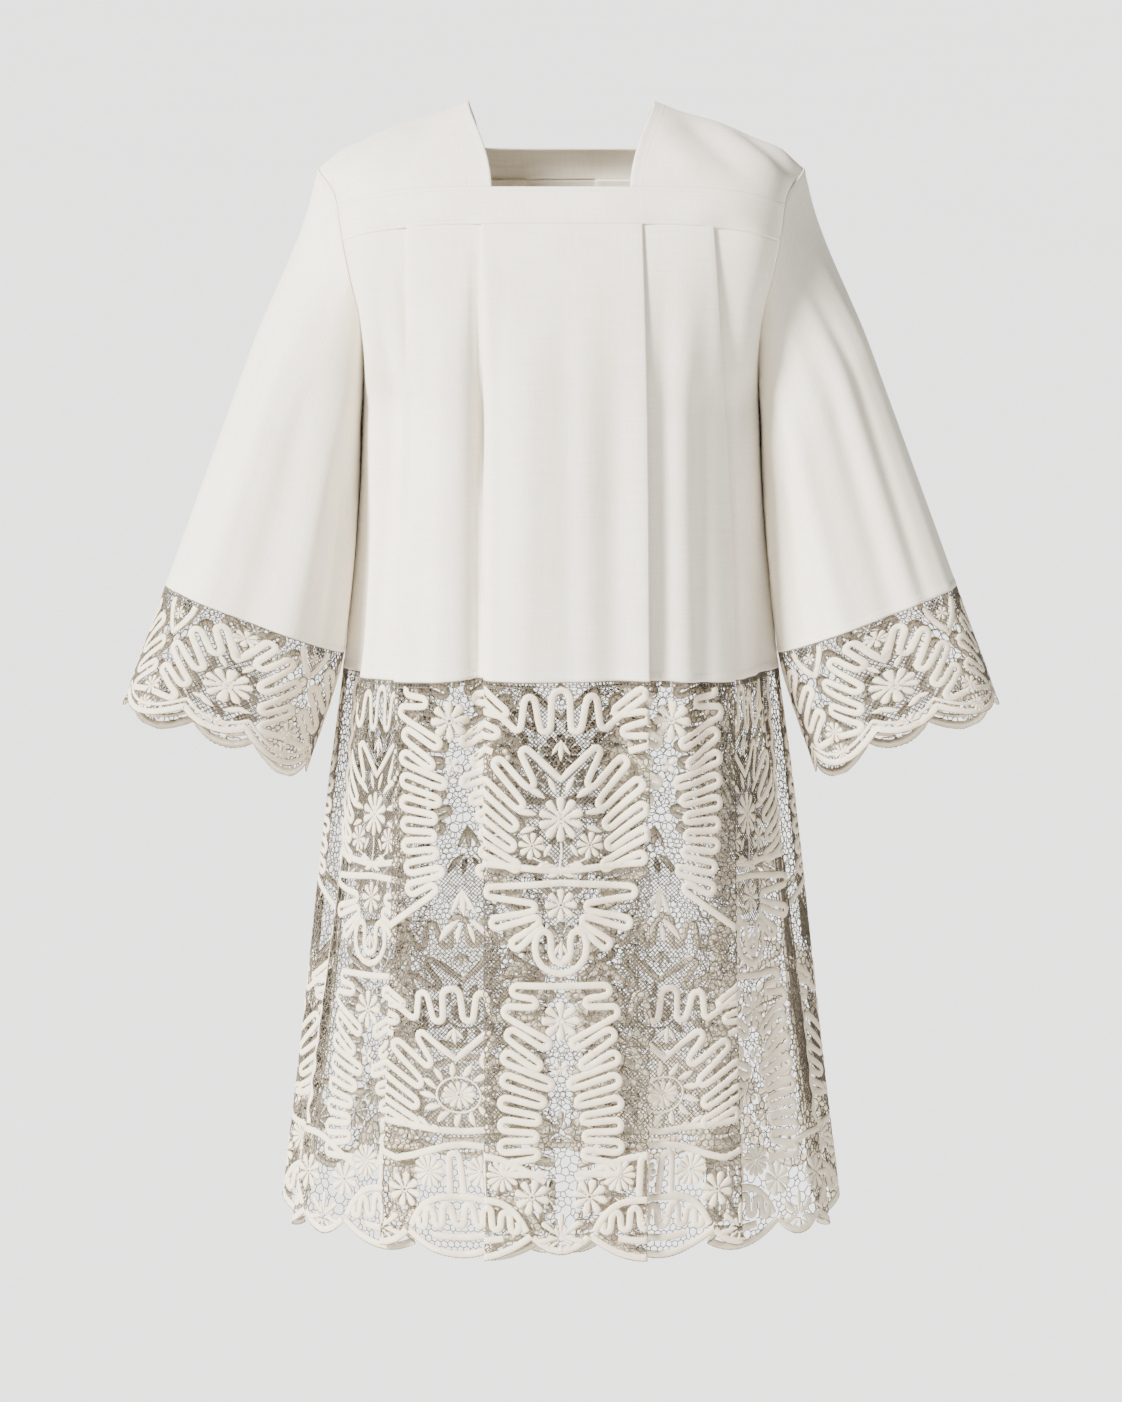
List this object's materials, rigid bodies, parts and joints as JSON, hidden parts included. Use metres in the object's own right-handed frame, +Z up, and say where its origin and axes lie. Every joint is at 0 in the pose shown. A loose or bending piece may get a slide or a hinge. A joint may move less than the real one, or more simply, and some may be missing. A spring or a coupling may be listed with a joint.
{
  "type": "surplice",
  "caption": "White cotton surplice with a square neck, pleated body, wide sleeves, and a deep lace skirt and cuffs with scalloped edges, hollow as worn.",
  "frame": {"origin": "on the centre plane, level with the tops of the shoulders beside the neck, between the front and the back", "axes": "+Z up, -Y to the front, +X to the wearer's left"},
  "size_m": [0.834, 0.3912, 1.0727],
  "materials": {
    "cotton": "plain woven white cotton",
    "lace": "natural linen tape lace with a net ground"
  },
  "bodies": {
    "root": {"chest_band": "cotton", "back_yoke": "cotton", "shoulder_left": "cotton", "shoulder_right": "cotton", "body_front": "cotton", "body_back": "cotton", "sleeve_left": "cotton", "sleeve_right": "cotton", "lace_skirt_front": "lace", "lace_skirt_back": "lace", "cuff_left_front": "lace", "cuff_left_back": "lace", "cuff_right_front": "lace", "cuff_right_back": "lace"}
  },
  "joints": []
}
